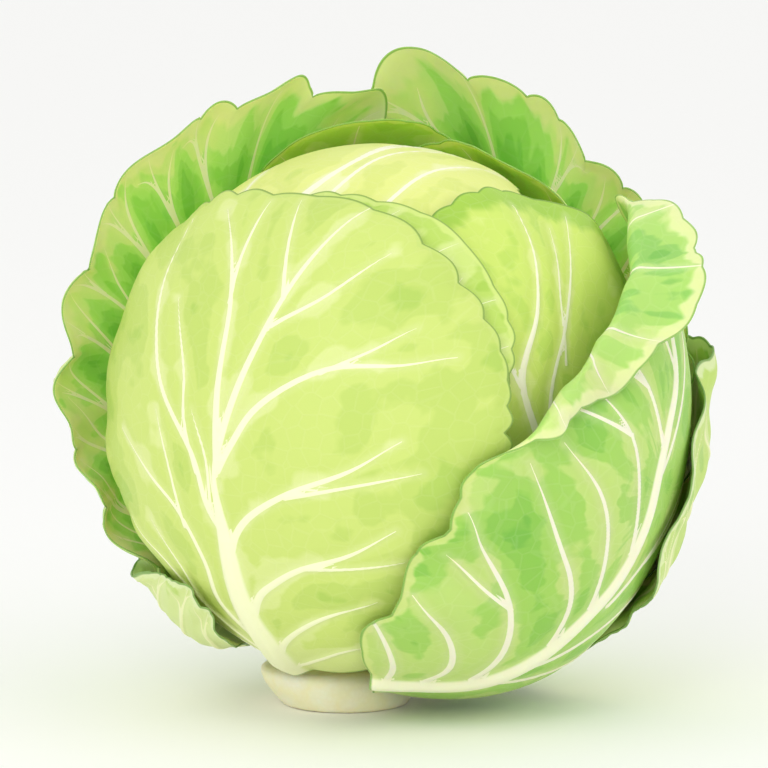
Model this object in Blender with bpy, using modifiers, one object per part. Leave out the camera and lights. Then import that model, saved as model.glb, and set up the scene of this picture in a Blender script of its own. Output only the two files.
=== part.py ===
"""A head of green cabbage, picked and standing on its cut stem.

Metres, +Z up, the front towards -Y. The origin is the centre of the flat cut face under the stem.

A leaf is a round blank laid over the head, and the leaves go on one after another, from the heart outwards,
as they grow. A place on a leaf is given by two angles seen from the middle of the head: how far along its
midrib, from 0 straight down to 180 straight up, and how far across from the midrib. What a leaf does round its
margin is listed at even steps, 8 or 16 of them, from its tip towards its right-hand side as seen from outside.
"""

import math
from dataclasses import dataclass

import bpy
import numpy as np
from mathutils import Matrix, Vector
from mathutils.bvhtree import BVHTree

# The tight heart, and where its middle is over the stem's cut face.
HEART_WIDTH = 0.167
HEART_HEIGHT = 0.176
HEART_BASE = 0.0155
HEART_OFFSET = 0.011

# The cut stem: a flat foot, and a wider shoulder a little to the left of it.
FOOT_RADIUS = 0.0205
SHOULDER_RADIUS = 0.026
SHOULDER_OFFSET = 0.0035
SHOULDER_HEIGHT = 0.013
FOOT_EDGE = 0.002
NECK_RADIUS = 0.012
NECK_DROP = 0.001
STEM_SIDES = 40

# How the leaves lie.
BLADE_THICKNESS = 0.0014
LEAF_GAP = 0.0013
STEM_GAP = 0.0015
TOUCH_GAP = 0.0003
NOTCH_REACH = math.radians(9)
RIB_SPREAD = 0.13
RIB_FADE = 1.3

# How finely the pieces are divided.
HEAD_LEAF_CELLS = 14
WRAPPER_CELLS = 20
HEART_SEGMENTS = 36
HEART_RINGS = 20
BEARINGS = 8
RING_RAYS = 10

HEART_MIDDLE = Vector((HEART_OFFSET, 0.0, HEART_BASE + HEART_HEIGHT / 2))


@dataclass
class Fold:
    """A straight line across a leaf, past which the blade rolls outwards and lies back over itself."""

    across: float  # a point on the line, in degrees across the leaf
    along: float  # the same point, in degrees along the midrib
    heading: float  # the line's direction, in degrees from straight across
    radius: float  # of the roll, in metres
    turn: tuple  # how far the blade turns, in degrees, at the line's lower and upper end


@dataclass
class Leaf:
    """One leaf: where it grows, its outline, and how it stands off what is under it."""

    name: str
    colour: str
    azimuth: float  # of the midrib, in degrees from the front, positive to the right
    tip: float  # where the midrib ends, in degrees from straight down
    half_width: float  # in degrees
    base: float = 0.0  # how far up from the stem's shoulder the blade starts, in degrees
    cells: int = HEAD_LEAF_CELLS
    outline: tuple = (1.0,) * BEARINGS  # shares of the half width and half length
    lift: tuple = (0.0,) * BEARINGS  # how far the margin stands out, in metres
    stand_off: float = 0.0  # how far the middle of the blade stands off the heart, in metres
    rib: float = 0.0025  # the midrib's thickness at the stem, in metres
    waves: int = 9  # round the whole margin
    ruffle: float = 0.001  # half the height of the waves, in metres
    lobe: float = 0.0  # how deep the notches in the outline are, as a share of its size
    notches: tuple = ()  # where the notches are, in degrees from the tip, when they aren't as even as the waves
    phase: float = 0.0  # of the waves, in radians
    fold: Fold = None


LEAVES = (
    Leaf("crown_leaf", "#F0F7A0", azimuth=-60, tip=212, half_width=62, base=45, ruffle=0.0005),
    Leaf(
        "back_right_head_leaf", "#B9DD55", azimuth=138, tip=156, half_width=56, base=22,
        outline=(1.0, 1.0, 0.95, 1.0, 1.0, 1.0, 0.9, 1.0),
        lift=(0.007, 0.006, 0.001, 0, 0, 0, 0.001, 0.006), waves=11, ruffle=0.001, phase=0.6,
    ),
    Leaf(
        "back_left_head_leaf", "#A9D243", azimuth=-170, tip=163, half_width=52, base=22,
        outline=(1.0, 0.80, 0.86, 1.0, 1.0, 1.0, 0.95, 0.92),
        lift=(0.010, 0.002, 0.0, 0, 0, 0, 0.0, 0.005), waves=10, ruffle=0.001, phase=2.0,
    ),
    Leaf(
        "right_head_leaf", "#CDE576", azimuth=50, tip=148, half_width=58, base=12,
        outline=(0.99, 0.94, 1.0, 0.96, 0.92, 0.96, 1.0, 1.0, 1.0, 1.0, 1.0, 1.0, 1.0, 1.03, 1.06, 1.02),
        lift=(0.0015, 0.001, 0.0005, 0, 0, 0, 0, 0.001), waves=12, ruffle=0.001, phase=1.0,
    ),
    Leaf(
        "second_head_leaf", "#CBE570", azimuth=-24, tip=156, half_width=60, base=12,
        outline=(0.865, 0.99, 0.85, 0.95, 1.0, 0.8, 0.8, 0.82),
        lift=(0.001, 0.002, 0.001, 0, 0, 0, 0, 0), waves=13, ruffle=0.0008, phase=0.2,
    ),
    Leaf(
        "front_head_leaf", "#D9EC84", azimuth=-36, tip=150, half_width=66,
        outline=(0.915, 1.07, 0.95, 1.0, 1.0, 0.66, 0.70, 1.05),
        lift=(0.0005, 0.001, 0.001, 0, 0, 0, 0.001, 0), rib=0.0065, waves=12, ruffle=0.0008, phase=1.7,
    ),
    Leaf(
        "left_wrapper_leaf", "#9ED15E", azimuth=-140, tip=161, half_width=54, cells=WRAPPER_CELLS,
        outline=(0.95, 0.96, 0.975, 1.03, 1.06, 1.15, 1.21, 1.1, 1.0, 1.0, 1.0, 1.0, 1.0, 1.03, 1.07, 1.0),
        lift=(0.027, 0.028, 0.028, 0.024, 0.022, 0.016, 0.008, 0.004, 0.0, 0.001, 0.002, 0.005, 0.008, 0.016,
              0.025, 0.026),
        rib=0.0045, waves=17, ruffle=0.0024, lobe=0.08, phase=1.0,
        notches=(-7, 12, 20, 43, 58, 78, 102, 118, 135, 155, 200, 222, 245, 268, 290, 312, 333),
    ),
    Leaf(
        "right_wrapper_leaf", "#8FC95A", azimuth=66, tip=147, half_width=55, cells=WRAPPER_CELLS,
        outline=(0.87, 0.92, 0.94, 0.98, 1.02, 1.01, 1.0, 1.0, 1.0, 1.07, 1.14, 1.01, 0.88, 0.79, 0.76, 0.82),
        lift=(-0.004, 0.0, -0.003, -0.006, -0.002, -0.008, -0.019, -0.014), stand_off=0.0225,
        rib=0.005, waves=15, ruffle=0.0018, lobe=0.05, phase=0.9,
        fold=Fold(across=-8, along=112, heading=36, radius=0.005, turn=(150, 125)),
    ),
    Leaf(
        "back_wrapper_leaf", "#93CC5B", azimuth=150, tip=156, half_width=55, base=12, cells=WRAPPER_CELLS,
        outline=(1.0, 1.0, 1.0, 1.0, 1.0, 1.0, 1.0, 1.0, 1.0, 1.0, 1.0, 0.92, 0.84, 0.88, 0.92, 0.94),
        lift=(0.037, 0.026, 0.010, 0.001, 0.0, 0.0, 0.004, 0.028),
        rib=0.0045, waves=16, ruffle=0.0024, lobe=0.075, phase=2.8,
        notches=(-2, -13, -20, -29, -38, -57, -77, -98, -120, -142, 20, 40, 60, 80, 100, 122, 145),
    ),
    Leaf(
        "left_outer_leaf", "#C4DF74", azimuth=-102, tip=57, half_width=36, cells=WRAPPER_CELLS,
        outline=(1.0, 1.0, 1.1, 1.25, 1.0, 1.0, 1.0, 1.0), stand_off=0.014,
        lift=(-0.004, -0.005, -0.006, -0.006, 0, -0.006, -0.006, -0.004),
        rib=0.003, waves=11, ruffle=0.001, lobe=0.03, phase=0.3,
    ),
    Leaf(
        "right_outer_leaf", "#B5D86C", azimuth=108, tip=100, half_width=40, base=16, cells=WRAPPER_CELLS,
        outline=(0.98, 1.0, 1.0, 1.0, 0.8, 0.6, 0.9, 0.98),
        lift=(-0.002, 0.001, 0.002, 0.001, 0, 0.0, 0.0, -0.001),
        rib=0.003, waves=11, ruffle=0.0015, lobe=0.03, phase=1.3,
    ),
)


def linear_colour(code):
    """An sRGB colour such as #D9EC84 as the linear RGBA that a shader takes."""
    parts = [int(code[i : i + 2], 16) / 255 for i in (1, 3, 5)]
    linear = [v / 12.92 if v <= 0.04045 else ((v + 0.055) / 1.055) ** 2.4 for v in parts]
    return (*linear, 1.0)


def plant_material(name, colour, roughness=0.5):
    material = bpy.data.materials.new(name)
    material.use_nodes = True
    shader = material.node_tree.nodes["Principled BSDF"]
    shader.inputs["Base Color"].default_value = linear_colour(colour)
    shader.inputs["Roughness"].default_value = roughness
    shader.inputs["Metallic"].default_value = 0.0
    return material


def finish_piece(piece, name, colour, parts, root):
    """Names a new object, puts it in the cabbage's collection under the root and gives it its material."""
    piece.name = name
    piece.data.name = name
    for holder in piece.users_collection:
        holder.objects.unlink(piece)
    parts.objects.link(piece)
    piece.parent = root
    piece.data.materials.append(plant_material(name + "_skin", colour))
    piece.data.shade_smooth()
    return piece


def blend(low, high, value):
    """0 below low, 1 above high, and a smooth rise between them."""
    share = np.clip((value - low) / (high - low), 0.0, 1.0)
    return share * share * (3 - 2 * share)


def round_margin(values, bearing):
    """One value for each bearing, from values listed at even steps round the leaf and smoothly joined."""
    count = len(values)
    place = np.mod(bearing / (2 * math.pi) * count, count)
    before = np.floor(place).astype(int) % count
    share = (1 - np.cos(np.pi * (place - np.floor(place)))) / 2
    listed = np.array(values, float)
    return listed[before] * (1 - share) + listed[(before + 1) % count] * share


def heart_radius(directions):
    """How far the heart reaches from its middle in each direction."""
    across = np.hypot(directions[:, 0], directions[:, 1]) / (HEART_WIDTH / 2)
    up = directions[:, 2] / (HEART_HEIGHT / 2)
    return 1 / np.hypot(across, up)


def midrib_start(azimuth):
    """The angle from straight down at which a leaf on this azimuth clears the stem's shoulder."""
    side = Vector((math.sin(azimuth), -math.cos(azimuth)))
    middle = Vector((HEART_OFFSET + SHOULDER_OFFSET, 0.0))
    reach = SHOULDER_RADIUS + STEM_GAP
    inward = middle.dot(side)
    out = -inward + math.sqrt(inward**2 - middle.length_squared + reach**2)
    down = HEART_HEIGHT / 2 * math.sqrt(1 - (out / (HEART_WIDTH / 2)) ** 2)
    return math.atan2(out, down)


def directions_of(azimuth, across, along):
    """Unit vectors from the head's middle to places on the leaf, given in radians across and along."""
    outward = np.array((math.sin(azimuth), -math.cos(azimuth), 0.0))
    sideways = np.array((math.cos(azimuth), math.sin(azimuth), 0.0))
    midrib = np.outer(np.sin(along), outward) - np.outer(np.cos(along), (0.0, 0.0, 1.0))
    return midrib * np.cos(across)[:, None] + np.outer(np.sin(across), sideways)


class Blank:
    """A leaf's flat round blank: where each of its points is on the leaf."""

    def __init__(self, leaf, flat_points):
        p, q = flat_points[:, 0], flat_points[:, 1]
        x = p * np.sqrt(1 - q * q / 2)
        y = q * np.sqrt(1 - p * p / 2)
        self.leaf = leaf
        self.azimuth = math.radians(leaf.azimuth)
        self.out = np.hypot(x, y)
        self.bearing = np.arctan2(x, y)
        self.start = midrib_start(self.azimuth) + math.radians(leaf.base)
        self.half_length = (math.radians(leaf.tip) - self.start) / 2
        self.middle = self.start + self.half_length
        lobed = 1 + leaf.lobe * self.upper() * blend(0.5, 1.0, self.out) * (self.lobes() - 0.65)
        size = self.out * round_margin(leaf.outline, self.bearing) * lobed
        self.across = size * np.sin(self.bearing) * math.radians(leaf.half_width)
        self.along = self.middle + size * np.cos(self.bearing) * self.half_length

    def lobes(self):
        """1 on the lobes of the outline, and 0 in the notches between them."""
        leaf = self.leaf
        if not leaf.notches:
            return np.abs(np.sin(self.bearing * leaf.waves / 2 + leaf.phase))
        off = self.bearing[:, None] - np.radians(leaf.notches)
        nearest = np.abs((off + math.pi) % (2 * math.pi) - math.pi).min(axis=1)
        return np.sin(np.minimum(nearest / NOTCH_REACH, 1.0) * math.pi / 2)

    def upper(self):
        """1 all round the free margin, and 0 where the leaf joins the stem."""
        return blend(-1.0, -0.55, np.cos(self.bearing))

    def waves(self):
        """The ruffles, which grow towards the margin."""
        leaf = self.leaf
        uneven = 0.7 * np.sin(3 * self.bearing + leaf.phase)
        height = leaf.ruffle * self.upper() * blend(0.55, 1.0, self.out)
        return height * (1 + np.sin(self.bearing * leaf.waves + 2 * leaf.phase + uneven))

    def stand(self):
        """How far the blade means to stand off the heart."""
        leaf = self.leaf
        rise = blend(0.3, 1.0, self.out) ** 1.3
        body = leaf.stand_off * blend(-0.5, 0.5, (self.along - self.start) / self.half_length)
        return LEAF_GAP + body + round_margin(leaf.lift, self.bearing) * rise


def ring_of(direction, reach):
    """The direction itself and others near it, up to reach radians away."""
    side = direction.orthogonal().normalized()
    up = direction.cross(side)
    found = [direction]
    for share in (0.35, 0.7, 1.05):
        for turn in range(RING_RAYS):
            angle = 2 * math.pi * (turn + share) / RING_RAYS
            off = (side * math.cos(angle) + up * math.sin(angle)) * math.tan(reach * share)
            found.append((direction + off).normalized())
    return found


def outermost(placed, directions, reach):
    """How far from the head's middle the placed pieces come, near each direction."""
    far = HEART_WIDTH + HEART_HEIGHT
    heights = np.zeros(len(directions))
    for i, row in enumerate(directions):
        for ray in ring_of(Vector(row), reach):
            for tree in placed:
                hit = tree.ray_cast(ray * far, -ray, far)
                if hit[0] is not None:
                    heights[i] = max(heights[i], hit[0].length)
    return heights


def settled(lift, side):
    """Spreads what a leaf is pushed out by over its neighbouring points, so that it lies in a smooth curve."""
    wanted = lift.reshape(side, side)
    eased = wanted
    for _ in range(5):
        edge = np.pad(eased, 1, mode="edge")
        near = (edge[:-2, 1:-1] + edge[2:, 1:-1] + edge[1:-1, :-2] + edge[1:-1, 2:]) / 4
        eased = np.maximum(wanted, near)
    return eased.reshape(-1)


def fold_of(leaf, blank):
    """How far past its fold each point is, in radians, and where the fold's own nearest point is."""
    if leaf.fold is None:
        zero = np.zeros(len(blank.across))
        return zero, blank.across, blank.along, zero, (0.0, 1.0)
    heading = math.radians(leaf.fold.heading)
    normal = (-math.sin(heading), math.cos(heading))
    from_across = blank.across - math.radians(leaf.fold.across)
    from_along = blank.along - math.radians(leaf.fold.along)
    past = np.maximum(0.0, from_across * normal[0] + from_along * normal[1])
    travel = from_across * math.cos(heading) + from_along * math.sin(heading)
    low, high = (math.radians(turn) for turn in leaf.fold.turn)
    turn = low + (high - low) * blend(-0.6, 0.6, travel)
    return past, blank.across - past * normal[0], blank.along - past * normal[1], turn, normal


def laid_leaf(leaf, flat_points, placed):
    """Places the blank's points on the head, over the pieces already there."""
    blank = Blank(leaf, flat_points)
    past, across, along, turn, normal = fold_of(leaf, blank)
    outward = directions_of(blank.azimuth, across, along)
    side = leaf.cells + 1
    reach = 1.15 * (math.radians(leaf.half_width) + blank.half_length) / leaf.cells
    rest = heart_radius(outward) + blank.stand()
    lift = np.maximum(0.0, outermost(placed, outward, reach) + LEAF_GAP - rest)
    radius = rest + settled(lift, side)
    step = 1e-3
    beyond = directions_of(blank.azimuth, across + normal[0] * step, along + normal[1] * step)
    tangent = beyond - outward
    tangent /= np.linalg.norm(tangent, axis=1)[:, None]
    length = past * radius
    roll = leaf.fold.radius if leaf.fold else 1.0
    angle = np.minimum(length / roll, turn)
    straight = length - roll * angle
    sine, cosine = np.sin(angle), np.cos(angle)
    forward = roll * sine + straight * cosine
    rise = roll * (1 - cosine) + straight * sine + blank.waves() * cosine
    return outward * (radius + rise)[:, None] + tangent * (forward - blank.waves() * sine)[:, None]


def rib_weights(leaf, blank):
    """1 on the midrib at the stem, fading to 0 along it and to both sides."""
    along = (blank.along - blank.start) / (2 * blank.half_length)
    fade = np.clip(1 - along, 0.0, 1.0) ** RIB_FADE
    spread = RIB_SPREAD * (0.6 + fade)
    return fade * np.exp(-((blank.across / spread) ** 2))


def grown_leaf(leaf, placed, parts, root):
    """One leaf: a round blank, laid over the pieces in place, with a blade and a thick midrib."""
    bpy.ops.mesh.primitive_grid_add(x_subdivisions=leaf.cells, y_subdivisions=leaf.cells, size=2)
    piece = bpy.context.object
    flat = np.empty(len(piece.data.vertices) * 3)
    piece.data.vertices.foreach_get("co", flat)
    flat = flat.reshape(-1, 3)
    points = laid_leaf(leaf, flat, placed)
    piece.data.vertices.foreach_set("co", points.ravel())
    piece.location = HEART_MIDDLE
    group = piece.vertex_groups.new(name="midrib")
    for index, weight in enumerate(rib_weights(leaf, Blank(leaf, flat))):
        group.add([index], float(weight), "REPLACE")
    shell = piece.modifiers.new("blade", "SOLIDIFY")
    shell.thickness = leaf.rib
    shell.offset = 1.0
    shell.vertex_group = group.name
    shell.thickness_vertex_group = BLADE_THICKNESS / leaf.rib
    finish_piece(piece, leaf.name, leaf.colour, parts, root)
    return piece


def make_heart(parts, root):
    """The closed ball of young leaves, folded tight round the top of the stem."""
    bpy.ops.mesh.primitive_uv_sphere_add(segments=HEART_SEGMENTS, ring_count=HEART_RINGS, radius=1.0)
    heart = bpy.context.object
    heart.data.transform(Matrix.Diagonal((HEART_WIDTH / 2, HEART_WIDTH / 2, HEART_HEIGHT / 2, 1.0)))
    heart.location = HEART_MIDDLE
    return finish_piece(heart, "heart", "#E9F2A6", parts, root)


def make_stem(parts, root):
    """The cut stump: a turned profile, whose upper rings are pushed over to the left of its flat foot."""
    neck_top = HEART_BASE - TOUCH_GAP
    profile = (
        (0.0, neck_top),
        (NECK_RADIUS, neck_top),
        (NECK_RADIUS * 1.25, neck_top - NECK_DROP),
        (SHOULDER_RADIUS * 0.88, SHOULDER_HEIGHT + NECK_DROP),
        (SHOULDER_RADIUS, SHOULDER_HEIGHT),
        (SHOULDER_RADIUS * 0.985, SHOULDER_HEIGHT * 0.55),
        (FOOT_RADIUS + FOOT_EDGE, FOOT_EDGE * 0.6),
        (FOOT_RADIUS, 0.0),
        (0.0, 0.0),
    )
    mesh = bpy.data.meshes.new("stem")
    mesh.from_pydata([(r, 0.0, z) for r, z in profile], [(i, i + 1) for i in range(len(profile) - 1)], [])
    stem = bpy.data.objects.new("stem", mesh)
    bpy.context.scene.collection.objects.link(stem)
    turned = stem.modifiers.new("turned", "SCREW")
    turned.steps = turned.render_steps = STEM_SIDES
    turned.use_merge_vertices = True
    turned.merge_threshold = 1e-5
    turned.use_smooth_shade = True
    bpy.context.view_layer.update()
    round_mesh = bpy.data.meshes.new_from_object(stem.evaluated_get(bpy.context.evaluated_depsgraph_get()))
    stem.modifiers.remove(turned)
    stem.data = round_mesh
    bpy.data.meshes.remove(mesh)
    for vertex in round_mesh.vertices:
        vertex.co.x -= SHOULDER_OFFSET * float(blend(0.0, SHOULDER_HEIGHT, vertex.co.z))
    return finish_piece(stem, "stem", "#FBF0B8", parts, root)


def main():
    for old in list(bpy.data.objects):
        bpy.data.objects.remove(old, do_unlink=True)
    parts = bpy.data.collections.new("cabbage_head")
    bpy.context.scene.collection.children.link(parts)
    root = bpy.data.objects.new("cabbage", None)
    parts.objects.link(root)
    make_stem(parts, root)
    pieces = [make_heart(parts, root)]
    placed = []
    for leaf in LEAVES:
        bpy.context.view_layer.update()
        placed.append(BVHTree.FromObject(pieces[-1], bpy.context.evaluated_depsgraph_get()))
        pieces.append(grown_leaf(leaf, placed, parts, root))


main()
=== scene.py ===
"""A head of green cabbage standing on its cut stem, and the studio it is seen in.

Metres, +Z up, the front towards -Y. The origin is the centre of the flat cut face under the stem.

A leaf is a round blank laid over the head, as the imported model's leaves are, only finer and with its veins.
A place on a leaf is given by two angles seen from the middle of the head: how far along its midrib, from 0
straight down to 180 straight up, and how far across from the midrib. What a leaf does round its margin is
listed at even steps, 8 or 16 of them, from its tip towards its right-hand side as seen from outside the head.
"""

import math
import random
from dataclasses import dataclass

import bpy
import numpy as np
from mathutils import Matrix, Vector
from mathutils.bvhtree import BVHTree


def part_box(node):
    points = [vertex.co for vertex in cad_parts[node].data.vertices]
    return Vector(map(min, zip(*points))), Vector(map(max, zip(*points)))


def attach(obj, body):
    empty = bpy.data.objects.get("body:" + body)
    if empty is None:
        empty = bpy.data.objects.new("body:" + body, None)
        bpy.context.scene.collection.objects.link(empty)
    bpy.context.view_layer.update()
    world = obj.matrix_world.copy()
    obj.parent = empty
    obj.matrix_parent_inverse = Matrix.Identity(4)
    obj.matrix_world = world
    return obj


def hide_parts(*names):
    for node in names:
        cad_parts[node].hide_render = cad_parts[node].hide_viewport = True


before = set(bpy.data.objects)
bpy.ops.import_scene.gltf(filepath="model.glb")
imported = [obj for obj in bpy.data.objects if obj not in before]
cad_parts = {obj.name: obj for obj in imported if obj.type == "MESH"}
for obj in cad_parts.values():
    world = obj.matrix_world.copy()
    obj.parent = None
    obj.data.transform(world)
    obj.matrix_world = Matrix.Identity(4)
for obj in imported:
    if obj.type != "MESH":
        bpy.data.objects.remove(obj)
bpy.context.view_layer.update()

bl_info = {
    "name": "Cabbage head",
    "version": (1, 0, 0),
    "blender": (4, 5, 0),
    "location": "3D View > Sidebar > Cabbage",
    "description": "Grows a head of green cabbage leaf by leaf, and sets up its studio",
    "category": "Object",
}

HEART_LOW, HEART_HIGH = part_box("heart")
HEART_MIDDLE = (HEART_LOW + HEART_HIGH) / 2
HEART_WIDTH = HEART_HIGH.x - HEART_LOW.x
HEART_HEIGHT = HEART_HIGH.z - HEART_LOW.z
STEM_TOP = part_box("stem")[1].z

MM = 0.001
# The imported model's own measures, in metres.
SHOULDER_RADIUS = 0.026
SHOULDER_OFFSET = 0.0035
SHOULDER_HEIGHT = 0.013
FOOT_RADIUS = 0.0205
BLADE_THICKNESS = 0.0014
LEAF_GAP = 0.0013
STEM_GAP = 0.0015
# The stem's rings from its foot up, as radius and height.
STEM_RINGS = (
    (FOOT_RADIUS + 0.0014, 0.0004),
    (FOOT_RADIUS + 0.0021, 0.0012),
    (FOOT_RADIUS + 0.0034, SHOULDER_HEIGHT * 0.24),
    (SHOULDER_RADIUS * 0.96, SHOULDER_HEIGHT * 0.42),
    (SHOULDER_RADIUS * 0.99, SHOULDER_HEIGHT * 0.62),
    (SHOULDER_RADIUS, SHOULDER_HEIGHT * 0.84),
    (SHOULDER_RADIUS * 0.985, SHOULDER_HEIGHT * 0.97),
    (SHOULDER_RADIUS * 0.93, SHOULDER_HEIGHT + 0.0007),
    (SHOULDER_RADIUS * 0.86, SHOULDER_HEIGHT + 0.001),
    (SHOULDER_RADIUS * 0.57, SHOULDER_HEIGHT + 0.0012),
    (SHOULDER_RADIUS * 0.46, STEM_TOP),
)
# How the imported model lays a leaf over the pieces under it.
HEAD_LEAF_CELLS = 14  # across its blank
WRAPPER_CELLS = 20
BEARINGS = 8
RING_RAYS = 10
RING_SHARES = (0.35, 0.7, 1.05)  # of a ring's reach
SETTLING_ROUNDS = 5
# The outline. A lobe, bulge or scallop of this height leaves the blade where it would be without it.
LOBE_WIDTH = math.radians(20)  # of a lobe that stands out fully
LOBE_LEVEL = 0.65
BULGE_LEVEL = 0.9
SCALLOP_LEVEL = 0.6
SCALLOPS = 40  # round a whole leaf
WIDE_BLADE_CELLS = 215  # across the finished blade of a large leaf
STILL = MM / 100  # thickening leaves the inner face's points closer than this to where they were
SMOOTH_ANGLE = math.radians(60)  # faces that meet at less than this look like one curve
# Lengths on a blade, in millimetres.
BLADE_REACH = 95.0  # from the head's middle, where lengths on the blades are reckoned
VEIN_REACH = 12.0  # from a vein's edge, as far as it tells on the blade beside it
PILLOW_RISE = 6.0  # from a vein or the margin, to where the blade swells fully
THIN_MARGIN = 10.0  # along the edge, where the blade grows thinner
PATCH_SIZE = 24.0  # of the deeper green
FINGER_SIZE = (8.0, 40.0)  # width and length of the deep green that runs in from the margin
HOLLOW_SHADE_REACH = 30.0  # from the margin, to where the painted shade of the hollow is deepest
PATTERN_STEP = 37.0  # along the pattern for each letter of a leaf's name, so that most leaves differ
VEIN_PALENESS = 7.0  # from a vein's edge, as far as the green is paler beside it
SKIN_GRAIN = 0.5  # of skin cells and wax bloom, which is what dulls the skin
# A vein thins along its length by this power, and to this share of itself over its last part.
VEIN_THINNING = 0.8
VEIN_END = 0.25
VEIN_END_FROM = 0.65
LAST_SIDE_VEIN = 13.0  # where on the margin the uppermost side vein ends, in degrees from the tip
# Lengths on the stem and the heart, in metres.
FIBRE_SPACING = 0.0015
STAIN_SIZE = 0.014
HEART_PATCH_SIZE = 0.03
STEM_STOPS = ((0.3, "#FFFEE2"), (0.5, "#FFF9CE"), (1.0, "#FFFFFF"))
# Where a blade's green stands in its skin's tones, from 0, the palest, to 1, and what moves it.
MIDDLE_TONE = 0.45
PATCH_SWING = 0.45
FINGER_SWING = 0.28
HOLLOW_SHADE_SWING = 0.3
SHADE_SWING = 0.3
PALE_FOOT = 0.5
PALE_FOOT_REACH = 30.0  # up from the stem, in degrees
# Places on the ramp and the tone at each: broad flat tones with quick steps between them.
TONE_STOPS = ((0.20, 0), (0.27, 1), (0.50, 1), (0.56, 2), (0.74, 2), (0.80, 3))
NET_STRENGTH = 0.05  # how far the net's lines go towards the ribs' colour
KINDS = ("heart_leaf", "head_leaf", "wrapper_leaf")  # of leaf, in the order in which they are laid
# The studio, in metres.
VIEW_MIDDLE = Vector((0.0135, 0.0, 0.1115))
VIEW_WIDTH = 0.265  # what the camera takes in there
CAMERA_TILT = math.radians(8.0)
CAMERA_AWAY = 2.0
FILM_WIDTH = 36.0  # millimetres
FLOOR_RADIUS = 12.0
# Each light's place from the middle of the view, its share of the key light's power, and its width.
LIGHTS = (("key", (-0.4, -1.35, 0.75), 1.0, 0.8), ("fill", (1.0, -0.7, 0.5), 0.25, 0.9))


@dataclass
class Fold:
    """A straight line across a leaf, past which the blade rolls outwards and lies back over itself."""

    across: float  # a point on the line, in degrees across the leaf
    along: float  # the same point, in degrees along the midrib
    heading: float  # the line's direction, in degrees from straight across
    radius: float  # of the roll, in metres
    turn: tuple  # how far the blade turns, in degrees, at the line's lower and upper end


@dataclass
class Vein:
    """A rib or vein: points in degrees across and along its leaf, and its size at both ends in mm."""

    path: tuple
    width: tuple
    height: tuple


@dataclass
class Veining:
    """How a leaf's veins are laid out by the plain rule: a midrib with side veins that fork."""

    seed: int
    sides: int = 7  # side veins on each side
    rib: tuple = (9.0, 1.6)  # the midrib's width at the stem and at the tip, in millimetres
    side: tuple = (2.4, 0.8)
    height: float = 0.8  # of the side veins, in millimetres
    first: float = 128.0  # where on the margin the lowest side vein ends, in degrees from the tip


@dataclass
class Leaf:
    """One leaf: where it grows, its outline, and how it stands off what is under it."""

    node: str
    slot: str
    skin: str
    azimuth: float  # of the midrib, in degrees from the front, positive to the right
    tip: float  # where the midrib ends, in degrees from straight down
    half_width: float  # in degrees
    veins: object
    base: float = 0.0  # how far up from the stem's shoulder the blade starts, in degrees
    cells: int = HEAD_LEAF_CELLS
    fine: int = 150  # how many cells across the finished blade has
    outline: tuple = (1.0,) * BEARINGS  # shares of the half width and half length
    lift: tuple = (0.0,) * BEARINGS  # how far the margin stands out, in metres
    stand_off: float = 0.0  # how far the middle of the blade stands off the heart, in metres
    rib: float = 0.0025  # the midrib's thickness at the stem, in metres
    waves: int = 9  # round the whole margin
    ruffle: float = 0.001  # half the height of the waves, in metres
    lobe: float = 0.0  # how deep the notches in the outline are, as a share of its size
    bulge: float = 0.0  # how far the lobes stand out past the notches between them, in metres
    notches: tuple = ()  # where they are, in degrees from the tip, when they aren't as even as the waves
    scallop: float = 0.018  # how deep the small scallops of the margin are, as a share of its size
    phase: float = 0.0  # of the waves, in radians
    shade: tuple = (0.0,) * BEARINGS  # how much deeper the blade's green is towards each part of the margin
    fold: Fold = None


def side_veins(height, *rows):
    """Side veins of this height that thin to a third of their width, each given as a width and its points."""
    return tuple(Vein(path, (width, width * 0.36), (height, height * 0.4)) for width, *path in rows)


FRONT_VEINS = (
    Vein(((-8, 14), (-5, 26), (-2, 38), (-1, 52), (1, 68), (1, 81), (2, 90)), (18.0, 3.6), (4.6, 1.1)),
    Vein(((2, 86), (2, 98), (2, 113), (0, 122), (-4, 131), (-9, 139)), (3.4, 0.9), (1.1, 0.4)),
    Vein(((2, 87), (5, 96), (10, 110), (14, 124), (19, 138), (24, 149)), (3.2, 0.9), (1.1, 0.4)),
) + side_veins(
    0.9,
    (1.7, (1, 118), (0, 128), (0, 142)),
    (1.6, (13, 120), (10, 131), (7, 143)),
    (1.7, (12, 114), (22, 123), (30, 136)),
    (2.9, (2, 84), (6, 90), (12, 98), (25, 107), (39, 111), (49, 117)),
    (1.4, (24, 106), (33, 113), (40, 121)),
    (3.1, (1, 64), (4, 70), (9, 75), (18, 80), (31, 85), (41, 92)),
    (1.7, (17, 79), (30, 81), (45, 83)),
    (3.4, (-1, 46), (4, 54), (9, 58), (17, 62), (28, 64), (38, 68)),
    (1.6, (18, 62), (28, 60), (38, 58)),
    (3.0, (-2, 31), (2, 38), (9, 44), (18, 48), (29, 49)),
    (2.2, (-3, 26), (2, 29), (7, 32), (15, 35), (24, 35)),
    (2.8, (1, 70), (-2, 76), (-5, 87), (-14, 99), (-18, 109), (-21, 124), (-20, 139)),
    (1.8, (-4, 83), (-7, 94), (-8, 104), (-14, 119)),
    (1.5, (-1, 76), (-1, 86), (-5, 96)),
    (2.8, (-5, 41), (-8, 51), (-7, 62), (-11, 73), (-19, 80), (-30, 89)),
    (1.6, (-10, 70), (-12, 82), (-16, 95)),
    (2.4, (-6, 30), (-12, 42), (-20, 55), (-32, 66)),
    (1.4, (-15, 48), (-16, 58), (-22, 69)),
    (2.0, (-8, 22), (-15, 32), (-26, 42)),
)

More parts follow.
